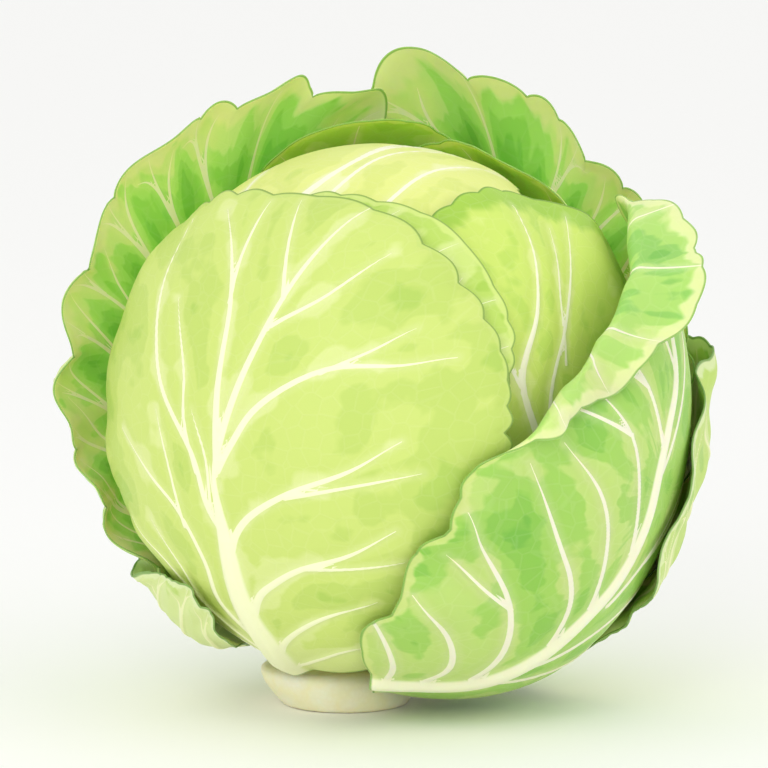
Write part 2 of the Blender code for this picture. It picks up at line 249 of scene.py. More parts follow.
RIGHT_WRAPPER_VEINS = (
    Vein(((-29, 10), (-25, 18), (-19, 30), (-16, 40), (-12, 53), (-8, 61), (-5, 72), (-4, 82), (-1, 90),
          (4, 98), (7, 110), (8, 125), (6, 140)), (10.5, 1.4), (3.2, 0.5)),
) + side_veins(
    0.9,
    (2.4, (-15, 44), (-18, 55), (-22, 62), (-28, 70), (-36, 86)),
    (2.3, (-12, 55), (-15, 66), (-20, 78), (-29, 90)),
    (2.2, (-7, 66), (-10, 78), (-14, 90), (-22, 102)),
    (2.6, (-20, 30), (-24, 42), (-31, 53), (-41, 63), (-47, 72)),
    (2.4, (-24, 22), (-28, 32), (-36, 39), (-48, 43)),
    (2.0, (-27, 15), (-34, 22), (-46, 27), (-58, 30)),
    (1.4, (-30, 52), (-38, 54), (-47, 58)),
    (2.2, (-6, 56), (1, 64), (9, 71), (17, 78), (20, 88)),
    (2.0, (1, 64), (12, 70), (26, 78), (38, 90)),
    (2.4, (-14, 40), (-4, 48), (8, 54), (24, 60), (40, 70)),
    (2.4, (-17, 32), (-6, 38), (8, 42), (26, 46), (44, 54)),
    (2.0, (-4, 80), (4, 90), (14, 102), (24, 116)),
    (2.0, (-3, 86), (-8, 98), (-16, 112), (-22, 126)),
    (1.6, (-8, 98), (-18, 106), (-30, 114)),
    (1.9, (4, 100), (0, 112), (-6, 126), (-12, 140)),
    (1.7, (7, 108), (14, 120), (20, 134)),
    (1.6, (-14, 90), (-26, 97), (-38, 103)),
)

# What the two open wrappers share.
OPEN_WRAPPER = {
    "slot": "wrapper_leaf", "skin": "wrapper", "cells": WRAPPER_CELLS, "fine": WIDE_BLADE_CELLS,
    "rib": 0.0045, "ruffle": 0.0024, "lobe": 0.08, "bulge": 0.004, "scallop": 0.01,
}

LEAVES = (
    Leaf(
        "crown_leaf", "heart_leaf", "crown", azimuth=-60, tip=212, half_width=62, base=45, ruffle=0.0005,
        veins=(
            Vein(((14, 70), (14, 110), (14, 140), (11, 165), (2, 190), (6, 208)), (4.5, 1.6), (0.6, 0.3)),
            *side_veins(
                0.5,
                (2.6, (14, 135), (14, 150), (10, 168), (-1, 188), (-6, 204)),
                (2.4, (15, 128), (20, 146), (17, 160), (10, 178), (6, 198)),
                (2.4, (14, 120), (28, 140), (30, 160), (20, 184), (12, 206)),
                (2.2, (14, 110), (36, 135), (44, 158), (34, 182)),
                (2.2, (14, 118), (0, 140), (-14, 160), (-26, 176)),
                (2.2, (14, 104), (-6, 128), (-26, 146), (-42, 158)),
            ),
        ),
    ),
    Leaf(
        "back_right_head_leaf", "head_leaf", "lime", azimuth=138, tip=156, half_width=56, base=22,
        veins=Veining(3), outline=(1, 1, 0.95, 1, 1, 1, 0.9, 1),
        lift=(0.007, 0.006, 0.001, 0, 0, 0, 0.001, 0.006), waves=11, ruffle=0.001, phase=0.6,
    ),
    Leaf(
        "back_left_head_leaf", "head_leaf", "lime", azimuth=-170, tip=163, half_width=52, base=22,
        veins=Veining(5), outline=(1, 0.80, 0.86, 1, 1, 1, 0.95, 0.92),
        lift=(0.010, 0.002, 0, 0, 0, 0, 0, 0.005), waves=10, ruffle=0.001, phase=2.0,
    ),
    Leaf(
        "right_head_leaf", "head_leaf", "banded", azimuth=50, tip=148, half_width=58, base=12,
        veins=(
            Vein(
                ((0, 30), (-4, 60), (-10, 85), (-15, 103), (-7, 117), (-3, 127), (1, 142)), (6.0, 1.4),
                (1, 0.5),
            ),
            *side_veins(
                0.6,
                (2.3, (-8, 80), (-7, 99), (1, 113), (9, 126), (16, 138)),
                (1.8, (-15, 100), (-20, 114), (-22, 130)),
                (2.2, (-4, 62), (14, 84), (24, 104), (30, 122)),
                (2.2, (-1, 40), (18, 58), (34, 80), (44, 100)),
            ),
            *side_veins(
                0.5,
                (1.3, (-1, 105), (2, 120), (9, 136)),
            ),
        ),
        outline=(0.99, 0.94, 1, 0.96, 0.92, 0.96, 1, 1, 1, 1, 1, 1, 1, 1.03, 1.06, 1.02),
        lift=(0.0015, 0.001, 0.0005, 0, 0, 0, 0, 0.001), waves=12, ruffle=0.001, phase=1,
    ),
    Leaf(
        "second_head_leaf", "head_leaf", "second", azimuth=-24, tip=156, half_width=60, base=12,
        veins=Veining(11, sides=8), outline=(0.865, 0.99, 0.85, 0.95, 1, 0.8, 0.8, 0.82),
        lift=(0.001, 0.002, 0.001, 0, 0, 0, 0, 0), waves=13, ruffle=0.0008, phase=0.2,
    ),
    Leaf(
        "front_head_leaf", "head_leaf", "front", azimuth=-36, tip=150, half_width=66, fine=WIDE_BLADE_CELLS,
        veins=FRONT_VEINS, outline=(0.915, 1.07, 0.95, 1, 1, 0.66, 0.70, 1.05),
        lift=(0.0005, 0.001, 0.001, 0, 0, 0, 0.001, 0), rib=0.0065, waves=12, ruffle=0.0008, phase=1.7,
        scallop=0.035, shade=(0.1, 0.2, 0.7, 0.6, -0.2, 0.6, 0.8, 0.4),
    ),
    Leaf(
        "left_wrapper_leaf", **OPEN_WRAPPER, azimuth=-140, tip=161, half_width=54,
        veins=Veining(17, sides=9, rib=(12.0, 2.0), side=(3.0, 1)),
        outline=(0.95, 0.96, 0.975, 1.03, 1.06, 1.15, 1.21, 1.1, 1, 1, 1, 1, 1, 1.03, 1.07, 1),
        lift=(0.027, 0.028, 0.028, 0.024, 0.022, 0.016, 0.008, 0.004, 0, 0.001, 0.002, 0.005, 0.008, 0.016,
              0.025, 0.026),
        waves=17, phase=1,
        notches=(-7, 12, 20, 43, 58, 78, 102, 118, 135, 155, 200, 222, 245, 268, 290, 312, 333),
    ),
    Leaf(
        "right_wrapper_leaf", "wrapper_leaf", "folded", azimuth=66, tip=147, half_width=55,
        cells=WRAPPER_CELLS, fine=WIDE_BLADE_CELLS, veins=RIGHT_WRAPPER_VEINS,
        outline=(0.87, 0.92, 0.94, 0.98, 1.02, 1.01, 1, 1, 1, 1.07, 1.14, 1.01, 0.88, 0.79, 0.76, 0.82),
        lift=(-0.004, 0, -0.003, -0.006, -0.002, -0.008, -0.019, -0.014), stand_off=0.0225,
        rib=0.005, waves=15, ruffle=0.0018, lobe=0.05, phase=0.9,
        fold=Fold(across=-8, along=112, heading=36, radius=0.005, turn=(150, 125)),
    ),
    Leaf(
        "back_wrapper_leaf", **OPEN_WRAPPER, azimuth=150, tip=156, half_width=55, base=12,
        veins=Veining(23, sides=9, rib=(12.0, 2.0), side=(3.0, 1)),
        outline=(1, 1, 1, 1, 1, 1, 1, 1, 1, 1, 1, 0.92, 0.84, 0.88, 0.92, 0.94),
        lift=(0.037, 0.026, 0.010, 0.001, 0, 0, 0.004, 0.028), waves=16, phase=2.8,
        notches=(-2, -13, -20, -29, -38, -57, -77, -98, -120, -142, 20, 40, 60, 80, 100, 122, 145),
    ),
    Leaf(
        "left_outer_leaf", "wrapper_leaf", "outer", azimuth=-102, tip=57, half_width=36, cells=WRAPPER_CELLS,
        veins=Veining(31, sides=4, rib=(9.0, 1.4)), outline=(1, 1, 1.1, 1.25, 1, 1, 1, 1),
        stand_off=0.014, lift=(-0.004, -0.005, -0.006, -0.006, 0, -0.006, -0.006, -0.004),
        rib=0.003, waves=11, ruffle=0.001, lobe=0.03, phase=0.3,
    ),
    Leaf(
        "right_outer_leaf", "wrapper_leaf", "outer", azimuth=108, tip=100, half_width=40, base=16,
        cells=WRAPPER_CELLS, veins=Veining(37, sides=6, rib=(9.0, 1.4)),
        outline=(0.98, 1, 1, 1, 0.8, 0.6, 0.9, 0.98),
        lift=(-0.002, 0.001, 0.002, 0.001, 0, 0, 0, -0.001),
        rib=0.003, waves=11, ruffle=0.0015, lobe=0.03, phase=1.3,
    ),
)


@dataclass
class Skin:
    """The colours of one side of a leaf. Both sides take the last three fields from the outer one."""

    tones: tuple  # from its palest patches to its deepest
    margin: str
    band: float  # the margin band's width, in millimetres
    wobble: float  # how far the band's inner edge wanders, in millimetres
    depth: float = 0.0  # painted shade: how much the green darkens away from the margin, into the hollow where the leaf curls in
    fingers: float = 0.0  # how strongly the deep green runs out towards the margin in fingers
    patches: float = 1.0  # how strongly the green varies in patches
    rib: str = "#FBFDD2"
    edge: str = "#6C9A42"  # a thin dark green line painted along the margin: painted shade that marks the leaf's edge
    glow: float = 0.08  # how much light comes through the blade


SKINS = {
    "front": Skin(
        ("#DBE992", "#CFE27A", "#C4DB6F", "#B5D362"), "#C8DE78", 2.0, 1.2, patches=0.8, edge="#7A9C46"
    ),
    "second": Skin(
        ("#D0E780", "#BEDD66", "#AFD456", "#A2CC4C"), "#D6EB84", 3.0, 1.5, patches=0.9, edge="#7FA348"
    ),
    "crown": Skin(
        ("#F0F6AC", "#E8F18C", "#DFEB82", "#D2E474"), "#DFEB88", 2.0, 1.0, patches=0.7, rib="#FFFEDF",
        edge="#8DAE4E",
    ),
    "banded": Skin(
        ("#DCEE88", "#D0E870", "#C2E064", "#B2D856"), "#A0CC46", 10.0, 3.0, patches=0.9, rib="#FFFFD8",
        edge="#739B3F", glow=0.3,
    ),
    "lime": Skin(("#D8F088", "#C8E86C", "#BCE05C", "#AED652"), "#DCF08E", 3.0, 2.0, patches=0.8, glow=0.85),
    "outer": Skin(("#D9E99A", "#C4DF74", "#AFD467", "#98C95A"), "#E3F0B6", 3.5, 2.0, rib="#F2F6BD"),
    "wrapper_outside": Skin(
        ("#C2DD7E", "#A8D365", "#94C956", "#82C04E"), "#D2E48E", 3.0, 2.5, fingers=0.3, rib="#FDFFD8",
        glow=0.85,
    ),
    "wrapper_inside": Skin(
        ("#DCF2A0", "#C2EA82", "#AEE06E", "#98D65E"), "#F2FABE", 10.0, 6.0, depth=1.0, fingers=1.0,
        patches=0.5,
    ),
    "flap": Skin(
        ("#CDE58C", "#B6DC76", "#9BCF68", "#86C55A"), "#E6F1AE", 5.0, 3.5, depth=0.6, fingers=0.8, patches=0.6
    ),
}

# What the leaves whose two sides differ show on their outer and on their inner side.
SIDES = {"wrapper": ("wrapper_outside", "wrapper_inside"), "folded": ("wrapper_outside", "flap")}


def linear_colour(code):
    """An sRGB colour such as #D9EC84 as the linear RGBA that a shader takes."""
    parts = [int(code[i : i + 2], 16) / 255 for i in (1, 3, 5)]
    linear = [v / 12.92 if v <= 0.04045 else ((v + 0.055) / 1.055) ** 2.4 for v in parts]
    return (*linear, 1.0)


def blend(low, high, value):
    """0 below low, 1 above high, and a smooth rise between them."""
    share = np.clip((value - low) / (high - low), 0.0, 1.0)
    return share * share * (3 - 2 * share)


def round_margin(values, bearing):
    """One value for each bearing, from values listed at even steps round the leaf and smoothly joined."""
    count = len(values)
    place = np.mod(bearing / (2 * math.pi) * count, count)
    before = np.floor(place).astype(int) % count
    share = (1 - np.cos(np.pi * (place - np.floor(place)))) / 2
    listed = np.array(values, float)
    return listed[before] * (1 - share) + listed[(before + 1) % count] * share


def heart_radius(directions):
    """How far the heart reaches from its middle in each direction."""
    across = np.hypot(directions[:, 0], directions[:, 1]) / (HEART_WIDTH / 2)
    up = directions[:, 2] / (HEART_HEIGHT / 2)
    return 1 / np.hypot(across, up)


def midrib_start(azimuth):
    """The angle from straight down at which a leaf on this azimuth clears the stem's shoulder."""
    side = Vector((math.sin(azimuth), -math.cos(azimuth)))
    middle = Vector((HEART_MIDDLE.x + SHOULDER_OFFSET, 0.0))
    reach = SHOULDER_RADIUS + STEM_GAP
    inward = middle.dot(side)
    out = -inward + math.sqrt(inward**2 - middle.length_squared + reach**2)
    down = HEART_HEIGHT / 2 * math.sqrt(1 - (out / (HEART_WIDTH / 2)) ** 2)
    return math.atan2(out, down)


def directions_of(azimuth, across, along):
    """Unit vectors from the head's middle to places on the leaf, given in radians across and along."""
    outward = np.array((math.sin(azimuth), -math.cos(azimuth), 0.0))
    sideways = np.array((math.cos(azimuth), math.sin(azimuth), 0.0))
    midrib = np.outer(np.sin(along), outward) - np.outer(np.cos(along), (0.0, 0.0, 1.0))
    return midrib * np.cos(across)[:, None] + np.outer(np.sin(across), sideways)


def flat_grid(cells):
    """The points of a flat square grid, from -1 to 1 both ways, in the order in which Blender makes them."""
    line = np.linspace(-1.0, 1.0, cells + 1)
    p, q = np.meshgrid(line, line)
    return np.stack((p.ravel(), q.ravel()), axis=1)


class Blank:
    """A leaf's flat round blank: where each of its points is on the leaf."""

    def __init__(self, leaf, cells, fine=True):
        p, q = flat_grid(cells).T
        x = p * np.sqrt(1 - q * q / 2)
        y = q * np.sqrt(1 - p * p / 2)
        self.leaf = leaf
        self.fine = fine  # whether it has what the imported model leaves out
        self.azimuth = math.radians(leaf.azimuth)
        self.out = np.hypot(x, y)
        self.bearing = np.arctan2(x, y)
        self.start = midrib_start(self.azimuth) + math.radians(leaf.base)
        self.half_length = (math.radians(leaf.tip) - self.start) / 2
        self.middle = self.start + self.half_length
        lobed = 1 + leaf.lobe * self.upper() * blend(0.5, 1.0, self.out) * (self.lobes() - LOBE_LEVEL)
        size = self.out * round_margin(leaf.outline, self.bearing) * lobed * self.scallops()
        self.across = size * np.sin(self.bearing) * math.radians(leaf.half_width)
        self.along = self.middle + size * np.cos(self.bearing) * self.half_length

    def lobes(self):
        """1 on the lobes of the outline, and 0 in the notches between them."""
        leaf = self.leaf
        if not leaf.notches:
            return np.abs(np.sin(self.bearing * leaf.waves / 2 + leaf.phase))
        marks = np.sort(np.radians(leaf.notches) % (2 * math.pi))
        marks = np.append(marks, marks[0] + 2 * math.pi)
        turned = marks[0] + (self.bearing - marks[0]) % (2 * math.pi)
        lobe = np.clip(np.searchsorted(marks, turned, side="right") - 1, 0, len(marks) - 2)
        width = marks[lobe + 1] - marks[lobe]
        arch = np.clip(np.sin((turned - marks[lobe]) / width * math.pi), 0.0, 1.0)
        return arch**0.7 * np.minimum(width / LOBE_WIDTH, 1.0)

    def upper(self):
        """1 all round the free margin, and 0 where the leaf joins the stem."""
        return blend(-1.0, -0.55, np.cos(self.bearing))

    def scallops(self):
        """The small uneven scallops of the very margin."""
        if not self.fine:
            return 1.0
        leaf = self.leaf
        turn = self.bearing * SCALLOPS + 1.5 * np.sin(self.bearing * 5 + leaf.phase) + 3 * leaf.phase
        deep = 0.6 + 0.4 * np.sin(self.bearing * 7 + 2 * leaf.phase)
        rise = leaf.scallop * self.upper() * blend(0.7, 1.0, self.out)
        return 1 + rise * deep * (np.abs(np.sin(turn / 2)) - SCALLOP_LEVEL)

    def waves(self):
        """The ruffles, which grow towards the margin."""
        leaf = self.leaf
        uneven = 0.7 * np.sin(3 * self.bearing + leaf.phase)
        height = leaf.ruffle * self.upper() * blend(0.55, 1.0, self.out)
        return height * (1 + np.sin(self.bearing * leaf.waves + 2 * leaf.phase + uneven))

    def stand(self):
        """How far the blade means to stand off the heart."""
        leaf = self.leaf
        bulge = leaf.bulge if self.fine else 0.0
        rise = blend(0.3, 1.0, self.out) ** 1.3
        body = leaf.stand_off * blend(-0.5, 0.5, (self.along - self.start) / self.half_length)
        bulges = bulge * self.upper() * blend(0.6, 1.0, self.out) * (self.lobes() - BULGE_LEVEL)
        return LEAF_GAP + body + bulges + round_margin(leaf.lift, self.bearing) * rise

    def margin(self):
        """How far each point is from the margin, in millimetres."""
        leaf = self.leaf
        wide = np.sin(self.bearing) * math.radians(leaf.half_width)
        long = np.cos(self.bearing) * self.half_length
        reach = np.hypot(wide, long) * round_margin(leaf.outline, self.bearing) * BLADE_REACH
        return (1 - self.out) * reach

    def place(self, across=None, along=None):
        """Where points given in radians lie on the blade pressed flat, in millimetres."""
        across = self.across if across is None else across
        along = self.along if along is None else along
        return across * BLADE_REACH, (along - self.middle) * np.cos(across) * BLADE_REACH


def ring_of(direction, reach):
    """The direction itself and others near it, up to reach radians away."""
    side = direction.orthogonal().normalized()
    up = direction.cross(side)
    found = [direction]
    for share in RING_SHARES:
        for turn in range(RING_RAYS):
            angle = 2 * math.pi * (turn + share) / RING_RAYS
            off = (side * math.cos(angle) + up * math.sin(angle)) * math.tan(reach * share)
            found.append((direction + off).normalized())
    return found


def outermost(placed, directions, reach):
    """How far from the head's middle the placed pieces come, near each direction."""
    far = HEART_WIDTH + HEART_HEIGHT
    heights = np.zeros(len(directions))
    for i, row in enumerate(directions):
        for ray in ring_of(Vector(row), reach):
            for tree in placed:
                hit = tree.ray_cast(ray * far, -ray, far)
                if hit[0] is not None:
                    heights[i] = max(heights[i], hit[0].length)
    return heights


def settled(lift, side):
    """Spreads what a leaf is pushed out by over its neighbouring points, so that it lies smoothly."""
    wanted = lift.reshape(side, side)
    eased = wanted
    for _ in range(SETTLING_ROUNDS):
        edge = np.pad(eased, 1, mode="edge")
        near = (edge[:-2, 1:-1] + edge[2:, 1:-1] + edge[1:-1, :-2] + edge[1:-1, 2:]) / 4
        eased = np.maximum(wanted, near)
    return eased


def fold_of(leaf, blank):
    """How far past its fold each point is, in radians, and where the fold's own nearest point is."""
    if leaf.fold is None:
        zero = np.zeros(len(blank.across))
        return zero, blank.across, blank.along, zero, (0.0, 1.0)
    heading = math.radians(leaf.fold.heading)
    normal = (-math.sin(heading), math.cos(heading))
    from_across = blank.across - math.radians(leaf.fold.across)
    from_along = blank.along - math.radians(leaf.fold.along)
    past = np.maximum(0.0, from_across * normal[0] + from_along * normal[1])
    travel = from_across * math.cos(heading) + from_along * math.sin(heading)
    low, high = (math.radians(turn) for turn in leaf.fold.turn)
    turn = low + (high - low) * blend(-0.6, 0.6, travel)
    return past, blank.across - past * normal[0], blank.along - past * normal[1], turn, normal


def packed_lift(leaf, placed):
    """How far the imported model's leaf is pushed out by the pieces under it, on its own coarse grid."""
    blank = Blank(leaf, leaf.cells, fine=False)
    _, across, along, _, _ = fold_of(leaf, blank)
    outward = directions_of(blank.azimuth, across, along)
    reach = 1.15 * (math.radians(leaf.half_width) + blank.half_length) / leaf.cells
    rest = heart_radius(outward) + blank.stand()
    lift = np.maximum(0.0, outermost(placed, outward, reach) + LEAF_GAP - rest)
    return settled(lift, leaf.cells + 1)


def curve_shares(t):
    """The shares of four points in a row at t, from 0 to 1, on the smooth curve between the middle two."""
    return (
        (-t + 2 * t**2 - t**3) / 2,
        (2 - 5 * t**2 + 3 * t**3) / 2,
        (t + 4 * t**2 - 3 * t**3) / 2,
        (-(t**2) + t**3) / 2,
    )


def finer(coarse, cells):
    """A coarse square of values on a finer grid, joined by a smooth curve through them."""
    side = len(coarse)
    weights = np.zeros((cells + 1, side))
    for row, place in enumerate(np.linspace(0, side - 1, cells + 1)):
        first = min(int(place), side - 2)
        for k, share in enumerate(curve_shares(place - first)):
            weights[row, min(max(first - 1 + k, 0), side - 1)] += share
    return (weights @ coarse @ weights.T).ravel()


def laid_points(leaf, blank, lift, inward):
    """Places the fine blank's points. Inward is how far the inner face swells between its veins."""
    past, across, along, turn, normal = fold_of(leaf, blank)
    outward = directions_of(blank.azimuth, across, along)
    radius = heart_radius(outward) + blank.stand() + lift
    step = 1e-3
    beyond = directions_of(blank.azimuth, across + normal[0] * step, along + normal[1] * step)
    tangent = beyond - outward
    tangent /= np.linalg.norm(tangent, axis=1)[:, None]
    length = past * radius
    roll = leaf.fold.radius if leaf.fold else 1.0
    angle = np.minimum(length / roll, turn)
    straight = length - roll * angle
    sine, cosine = np.sin(angle), np.cos(angle)
    waves = blank.waves() - inward
    forward = roll * sine + straight * cosine - waves * sine
    rise = roll * (1 - cosine) + straight * sine + waves * cosine
    return outward * (radius + rise)[:, None] + tangent * forward[:, None]


def curve_through(points, steps=5):
    """A smooth curve through the points, with steps points for each of them."""
    points = np.array(points, float)
    ends = np.vstack((2 * points[0] - points[1], points, 2 * points[-1] - points[-2]))
    shares = [np.array(curve_shares(t)) for t in np.arange(steps) / steps]
    found = [share @ ends[i : i + 4] for i in range(len(points) - 1) for share in shares]
    return np.array(found + [points[-1]])


def margin_place(leaf, blank, bearing, out=0.97):
    """Degrees across and along at this share of the way to the margin, on this bearing in degrees."""
    angle = math.radians(bearing)
    size = out * float(round_margin(leaf.outline, np.array([angle]))[0])
    across = size * math.sin(angle) * leaf.half_width
    along = math.degrees(blank.middle + size * math.cos(angle) * blank.half_length)
    return np.array((across, along))


def ruled_veins(leaf, blank, rule):
    """A midrib with side veins that leave it in turn, bend towards the tip and fork before the margin."""
    rng = random.Random(rule.seed)
    start = math.degrees(blank.start)
    tip = margin_place(leaf, blank, 0.0, 0.95)
    thick = (leaf.rib - BLADE_THICKNESS) / MM * 0.8
    sway = rng.uniform(-2.0, 2.0)
    length = tip[1] - start
    midrib = ((0.0, start - 1.0), (sway, start + length * 0.4), (-sway, start + length * 0.75), tip)
    veins = [Vein(midrib, rule.rib, (thick, 0.4))]
    spacing = (rule.first - LAST_SIDE_VEIN) / rule.sides
    for hand in (-1, 1):
        for number in range(rule.sides):
            share = (number + 0.25 * (hand + 1) + rng.uniform(-0.12, 0.12)) / rule.sides
            ends_at = rule.first + (LAST_SIDE_VEIN - rule.first) * share
            foot = np.array((0.0, start + length * (0.04 + 0.76 * share)))
            end = margin_place(leaf, blank, hand * ends_at)
            bend = np.array((foot[0] + (end[0] - foot[0]) * 0.55, foot[1] + (end[1] - foot[1]) * 0.32))
            path = [bezier(foot, bend, end, t) for t in (0.0, 0.2, 0.4, 0.6, 0.8, 1.0)]
            thin = 0.75 + 0.25 * math.sin(math.pi * share) + rng.uniform(-0.08, 0.08)
            width = (rule.side[0] * thin, rule.side[1] * thin)
            veins.append(Vein(tuple(path), width, (rule.height, rule.height * 0.45)))
            for leaves_at, turn in ((0.5, -0.48), (0.68, 0.3)):
                leaves_at += rng.uniform(-0.05, 0.05)
                joint = bezier(foot, bend, end, leaves_at)
                ahead = bezier(foot, bend, end, leaves_at + 0.22)
                end_2 = margin_place(leaf, blank, hand * (ends_at + turn * spacing), rng.uniform(0.86, 0.95))
                branch = [bezier(joint, ahead, end_2, t) for t in (0.0, 0.33, 0.66, 1.0)]
                veins.append(Vein(tuple(branch), (width[0] * 0.6, width[1] * 0.7), (rule.height * 0.6, 0.25)))
    return veins


def bezier(first, bend, last, t):
    return (1 - t) ** 2 * first + 2 * t * (1 - t) * bend + t**2 * last


def vein_field(blank, veins, widen):
    """For each point: the way to the nearest vein in half widths of it, its edge's distance, the swelling."""
    at = np.column_stack(blank.place())
    offset = np.full((len(at), 2), 9.0)  # well outside any vein
    edge = np.full(len(at), VEIN_REACH)
    raised = np.zeros(len(at))
    for vein in veins:
        points = np.column_stack(blank.place(*np.radians(curve_through(vein.path)).T))
        share = np.concatenate(([0.0], np.cumsum(np.hypot(*np.diff(points, axis=0).T))))
        share /= share[-1]
        reach = VEIN_REACH + vein.width[0] / 2
        for i, (start, end) in enumerate(zip(points[:-1], points[1:])):
            low, high = np.minimum(start, end) - reach, np.maximum(start, end) + reach
            near = np.flatnonzero(((at > low) & (at < high)).all(axis=1))
            step = end - start
            t = np.clip((at[near] - start) @ step / (step @ step), 0.0, 1.0)
            way = at[near] - start - np.outer(t, step)
            done = share[i] + t * (share[i + 1] - share[i])
            thin = done**VEIN_THINNING
            half = (vein.width[0] + (vein.width[1] - vein.width[0]) * thin) / 2 * widen
            half *= VEIN_END + (1 - VEIN_END) * blend(1.0, VEIN_END_FROM, done)
            height = vein.height[0] + (vein.height[1] - vein.height[0]) * thin
            away = np.hypot(*way.T)
            closer = away - half < edge[near]
            found = near[closer]
            edge[found] = (away - half)[closer]
            offset[found] = (way / half[:, None])[closer]
            swell = height * (1 - blend(0.25 * half, 1.25 * half + 0.5, away))
            raised[near] = np.maximum(raised[near], swell)
    return offset, edge, raised


def add_node(tree, kind, inputs, out=0, stops=(), **settings):
    """Adds a shader node with its settings, colour stops and inputs, and gives back one of its outputs."""
    made = tree.nodes.new("ShaderNode" + kind)
    for name, value in settings.items():
        setattr(made, name, value)
    for _ in stops[2:]:
        made.color_ramp.elements.new(0.5)
    for number, (place, code) in enumerate(stops):
        made.color_ramp.elements[number].position = place
        made.color_ramp.elements[number].color = linear_colour(code)
    for socket, value in inputs.items():
        if isinstance(value, bpy.types.NodeSocket):
            tree.links.new(value, made.inputs[socket])
        else:
            made.inputs[socket].default_value = value
    return made.outputs[out]


def new_material(name, inputs):
    """A new material whose shader has these inputs, with its node tree."""
    material = bpy.data.materials.new(name)
    material.use_nodes = True
    shader = material.node_tree.nodes["Principled BSDF"]
    for socket, value in inputs.items():
        shader.inputs[socket].default_value = value
    return material, material.node_tree, shader


def blade_colour(tree, skin, look, place, rim, beside):
    """The colour of one side of a blade, from its patches, its fingers of deep green and its margin band."""
    rims = add_node(tree, "SeparateXYZ", {0: rim}).node.outputs
    wide, long = FINGER_SIZE
    patches = add_node(
        tree, "TexNoise", {"Vector": place, "Scale": 1 / PATCH_SIZE, "Detail": 3.0, "Roughness": 0.45}
    )
    stretch = add_node(tree, "VectorMath", {0: rim, 1: (1 / wide, 1 / long, 0.0)}, operation="MULTIPLY")
    fingers = add_node(tree, "TexNoise", {"Vector": stretch, "Scale": 1.0, "Detail": 2.0, "Roughness": 0.4})
    tone, ray, wander = (
        add_node(
            tree, "MapRange", {0: noise, 1: low, 2: 1 - low, 3: level - swing, 4: level + swing}, clamp=False
        )
        for noise, low, level, swing in (
            (patches, 0.25, MIDDLE_TONE, PATCH_SWING * skin.patches * look.patchiness),
            (fingers, 0.3, 0.0, FINGER_SWING * skin.fingers),
            (fingers, 0.3, 0.0, skin.wobble),
        )
    )
    # Painted shade: the green darkens away from the margin, into the hollow where the leaf curls in.
    swing = HOLLOW_SHADE_SWING * skin.depth
    deep = add_node(tree, "MapRange", {0: rims[1], 1: skin.band, 2: HOLLOW_SHADE_REACH, 3: -swing, 4: swing})
    for more in (ray, deep, rims[2], beside):
        tone = add_node(tree, "Math", {0: tone, 1: more}, operation="ADD")
    green = add_node(tree, "ValToRGB", {0: tone}, stops=[(at, skin.tones[which]) for at, which in TONE_STOPS])
    inside = add_node(tree, "Math", {0: rims[1], 1: wander}, operation="ADD")
    band = add_node(
        tree, "MapRange", {0: inside, 1: skin.band * 0.7, 2: skin.band * 1.2, 3: 0.85, 4: 0.0},
        interpolation_type="SMOOTHSTEP",
    )
    return add_node(tree, "Mix", {0: band, 6: green, 7: linear_colour(skin.margin)}, out=2, data_type="RGBA")


